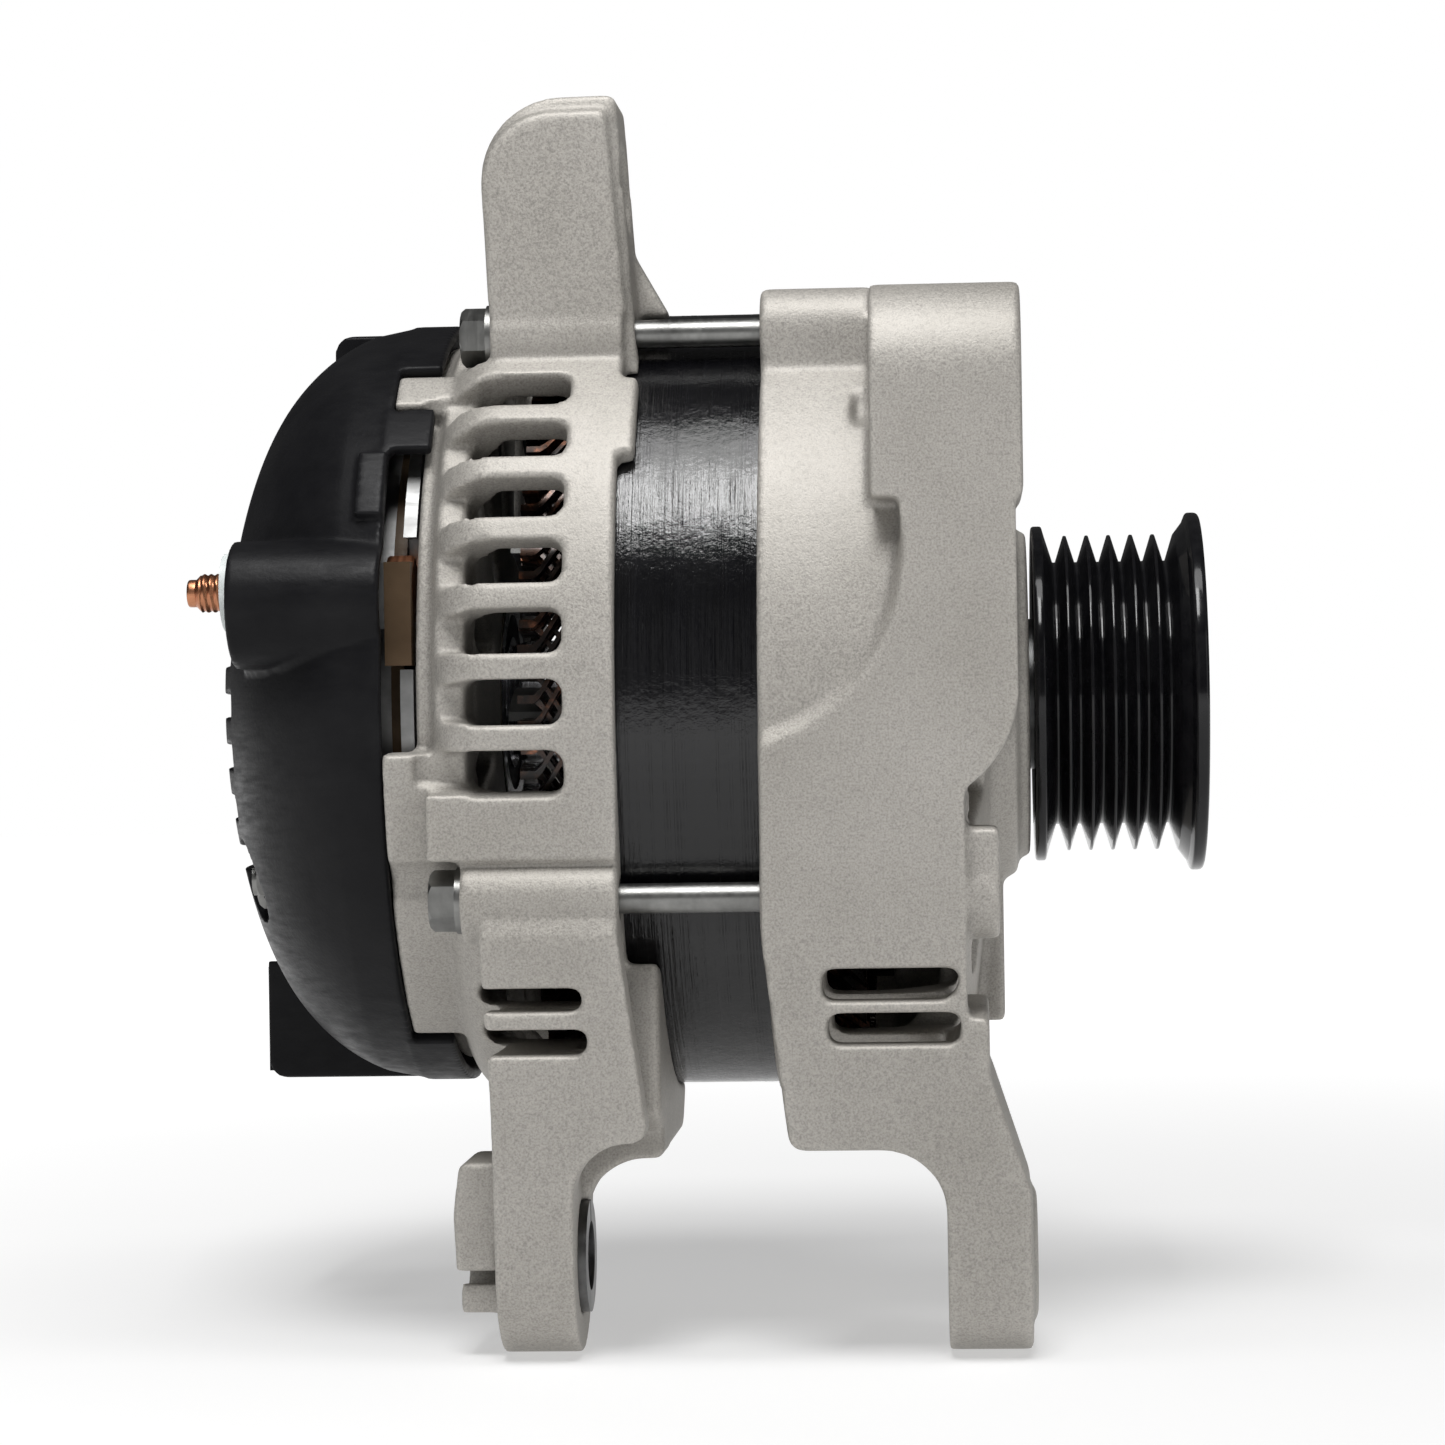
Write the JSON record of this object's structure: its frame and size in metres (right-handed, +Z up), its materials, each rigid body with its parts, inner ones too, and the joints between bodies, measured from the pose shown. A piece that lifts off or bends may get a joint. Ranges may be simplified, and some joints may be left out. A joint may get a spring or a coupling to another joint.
{
  "type": "car alternator",
  "caption": "Car alternator with ribbed pulley, cast end frames round an exposed stator, claw-pole rotor, plastic rear cover and two pivot ears.",
  "frame": {"origin": "where the shaft axis crosses the middle of the six belt grooves", "axes": "+X along the shaft out of the pulley, +Z up with the pivot ears hanging below, -Y is the side with the flat cast arm and the output stud"},
  "size_m": [0.1571, 0.132, 0.1929],
  "materials": {
    "cast_aluminium": "grit-blasted die casting",
    "core_black": "black paint over laminations",
    "pulley_black": "gloss black coating",
    "cover_plastic": "satin black moulding",
    "black_plastic": "satin",
    "cage_plastic": "satin",
    "brown_plastic": "phenolic",
    "white_nylon": "satin nylon",
    "seal_rubber": "matt",
    "zinc_steel": "zinc plated",
    "dark_steel": "oiled steel",
    "bearing_steel": "ground",
    "pole_iron": "forged, turned outside",
    "fan_steel": "pressed sheet",
    "plain_aluminium": "pressed",
    "ring_copper": "turned copper",
    "stud_copper": "copper plated",
    "copper_wire": "enamelled",
    "pin_brass": "tinned brass",
    "carbon": "pressed carbon"
  },
  "bodies": {
    "housing": {"b_plus_insulator": "white_nylon", "b_plus_nut": "zinc_steel", "b_plus_stud": "stud_copper", "bearing_retainer_plate": "fan_steel", "brush_holder": "black_plastic", "brush_spring_negative": "zinc_steel", "brush_spring_positive": "zinc_steel", "connector_pins": "pin_brass", "connector_socket": "black_plastic", "cover_nuts": "zinc_steel", "cover_studs": "zinc_steel", "drive_end_frame": "cast_aluminium", "front_bearing_outer_ring": "bearing_steel", "front_bearing_seals": "seal_rubber", "rear_bearing_outer_ring": "bearing_steel", "rear_bearing_seals": "seal_rubber", "rear_bearing_sleeve": "cage_plastic", "rear_cover": "cover_plastic", "rear_frame": "cast_aluminium", "rectifier_diodes": "plain_aluminium", "rectifier_insulator": "brown_plastic", "rectifier_negative_plate": "plain_aluminium", "rectifier_positive_plate": "plain_aluminium", "regulator_body": "black_plastic", "regulator_heat_sink": "plain_aluminium", "retainer_screws": "zinc_steel", "slip_ring_guard": "black_plastic", "stator_core": "core_black", "stator_winding": "copper_wire", "through_bolts": "zinc_steel"},
    "rotor": {"pulley": "pulley_black", "pulley_nut": "zinc_steel", "spacer_collar": "dark_steel", "front_bearing_inner_ring": "bearing_steel", "rear_bearing_inner_ring": "bearing_steel", "rotor_shaft": "bearing_steel", "front_claw_pole": "pole_iron", "rear_claw_pole": "pole_iron", "coil_bobbin": "cage_plastic", "field_coil": "copper_wire", "front_fan": "fan_steel", "rear_fan": "fan_steel", "slip_rings": "ring_copper", "slip_ring_insulator": "black_plastic"},
    "front_ball_set": {"front_bearing_balls": "bearing_steel", "front_bearing_cage": "cage_plastic"},
    "rear_ball_set": {"rear_bearing_balls": "bearing_steel", "rear_bearing_cage": "cage_plastic"},
    "brush_positive_body": {"brush_positive": "carbon"},
    "brush_negative_body": {"brush_negative": "carbon"},
    "ear_bush": {"rear_ear_bush": "dark_steel"}
  },
  "joints": [
    {"name": "rotor_spin", "type": "hinge", "parent": "housing", "child": "rotor", "pos_m": [0, 0, 0], "axis": [1, 0, 0], "continuous": true},
    {"name": "front_ball_set_spin", "type": "hinge", "parent": "housing", "child": "front_ball_set", "pos_m": [-0.0242, 0, 0], "axis": [1, 0, 0], "continuous": true},
    {"name": "rear_ball_set_spin", "type": "hinge", "parent": "housing", "child": "rear_ball_set", "pos_m": [-0.103, 0, 0], "axis": [1, 0, 0], "continuous": true},
    {"name": "brush_positive_slide", "type": "slide", "parent": "housing", "child": "brush_positive_body", "axis": [0, 0, -1], "range_m": [0, 0.003], "stiffness_N_per_m": 500, "springref_m": -0.006, "deforming": ["brush_spring_positive"]},
    {"name": "brush_negative_slide", "type": "slide", "parent": "housing", "child": "brush_negative_body", "axis": [0, 0, -1], "range_m": [0, 0.003], "stiffness_N_per_m": 500, "springref_m": -0.006, "deforming": ["brush_spring_negative"]},
    {"name": "rear_bush_slide", "type": "slide", "parent": "housing", "child": "ear_bush", "axis": [1, 0, 0], "range_m": [0, 0.0015]}
  ],
  "couplings": [
    {"joint": "front_ball_set_spin", "follows": "rotor_spin", "ratio": 0.3641},
    {"joint": "rear_ball_set_spin", "follows": "rotor_spin", "ratio": 0.38}
  ]
}
